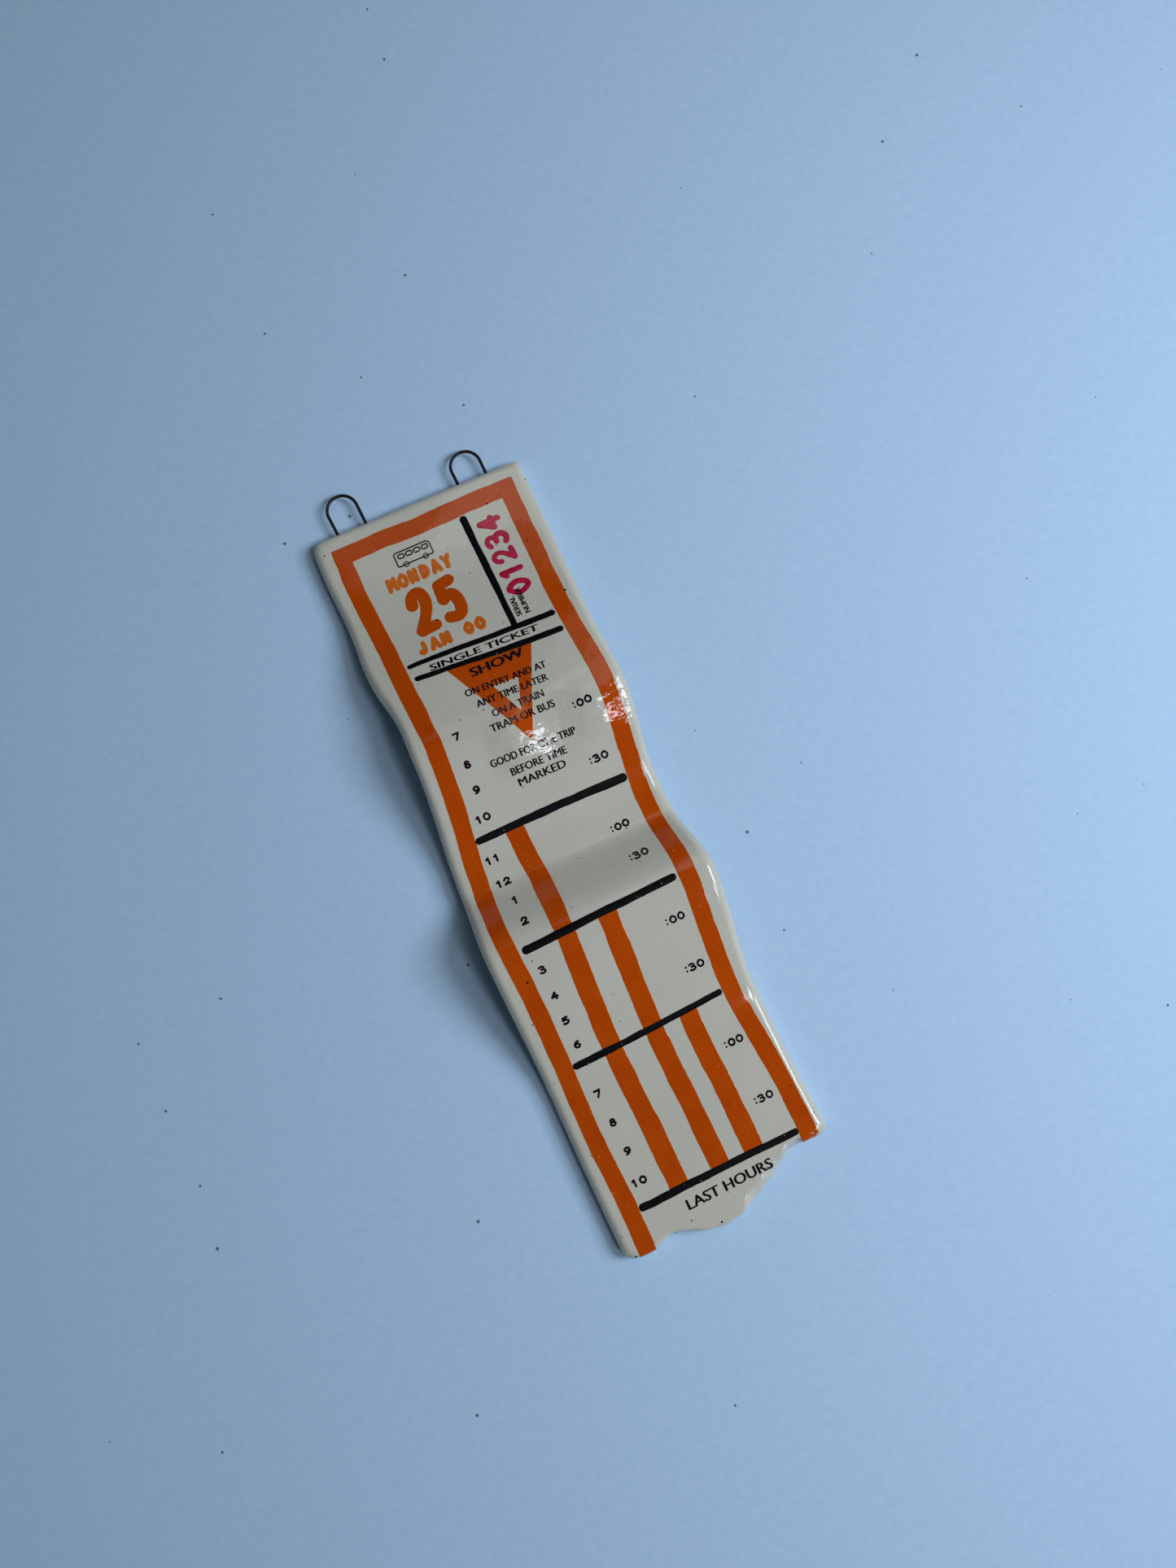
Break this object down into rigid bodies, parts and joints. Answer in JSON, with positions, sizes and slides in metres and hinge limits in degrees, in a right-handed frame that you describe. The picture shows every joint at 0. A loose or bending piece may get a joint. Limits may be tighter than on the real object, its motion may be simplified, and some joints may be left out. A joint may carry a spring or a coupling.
{
  "type": "ceramic transit ticket wall piece",
  "caption": "Glazed ceramic wall piece shaped like a torn, wavy paper transit ticket, with orange bands, raised black lines and wire hanging loops at its top edge.",
  "frame": {"origin": "on the resting plane, below the middle of the bounding box, loops included", "axes": "lying face up: +X to the reader's right, +Y along the ticket towards the hanging loops, +Z out of the printed face"},
  "size_m": [0.0579, 0.2001, 0.0148],
  "materials": {
    "glazed_clay": "glossy clear glaze over off-white clay",
    "kiln_wire": "high-temperature kiln wire, oxidised dark by firing",
    "orange_underglaze": "brushed orange underglaze under clear glaze",
    "black_line": "raised blue-black glaze line, fired glossy",
    "decal_ink": "fired purple-black decal print, flush with the glaze",
    "crimson_ink": "brushed crimson underglaze digits"
  },
  "bodies": {
    "root": {"ticket_slab": "glazed_clay", "hanging_loop_left": "kiln_wire", "hanging_loop_right": "kiln_wire", "border_band_left": "orange_underglaze", "border_band_right": "orange_underglaze", "border_band_top": "orange_underglaze", "stripe_1": "orange_underglaze", "stripe_2": "orange_underglaze", "stripe_3": "orange_underglaze", "pointer_triangle": "orange_underglaze", "serial_divider": "black_line", "title_line_upper": "black_line", "title_line_lower": "black_line", "hour_line_1": "black_line", "hour_line_2": "black_line", "hour_line_3": "black_line", "hour_line_4": "black_line"}
  },
  "joints": []
}
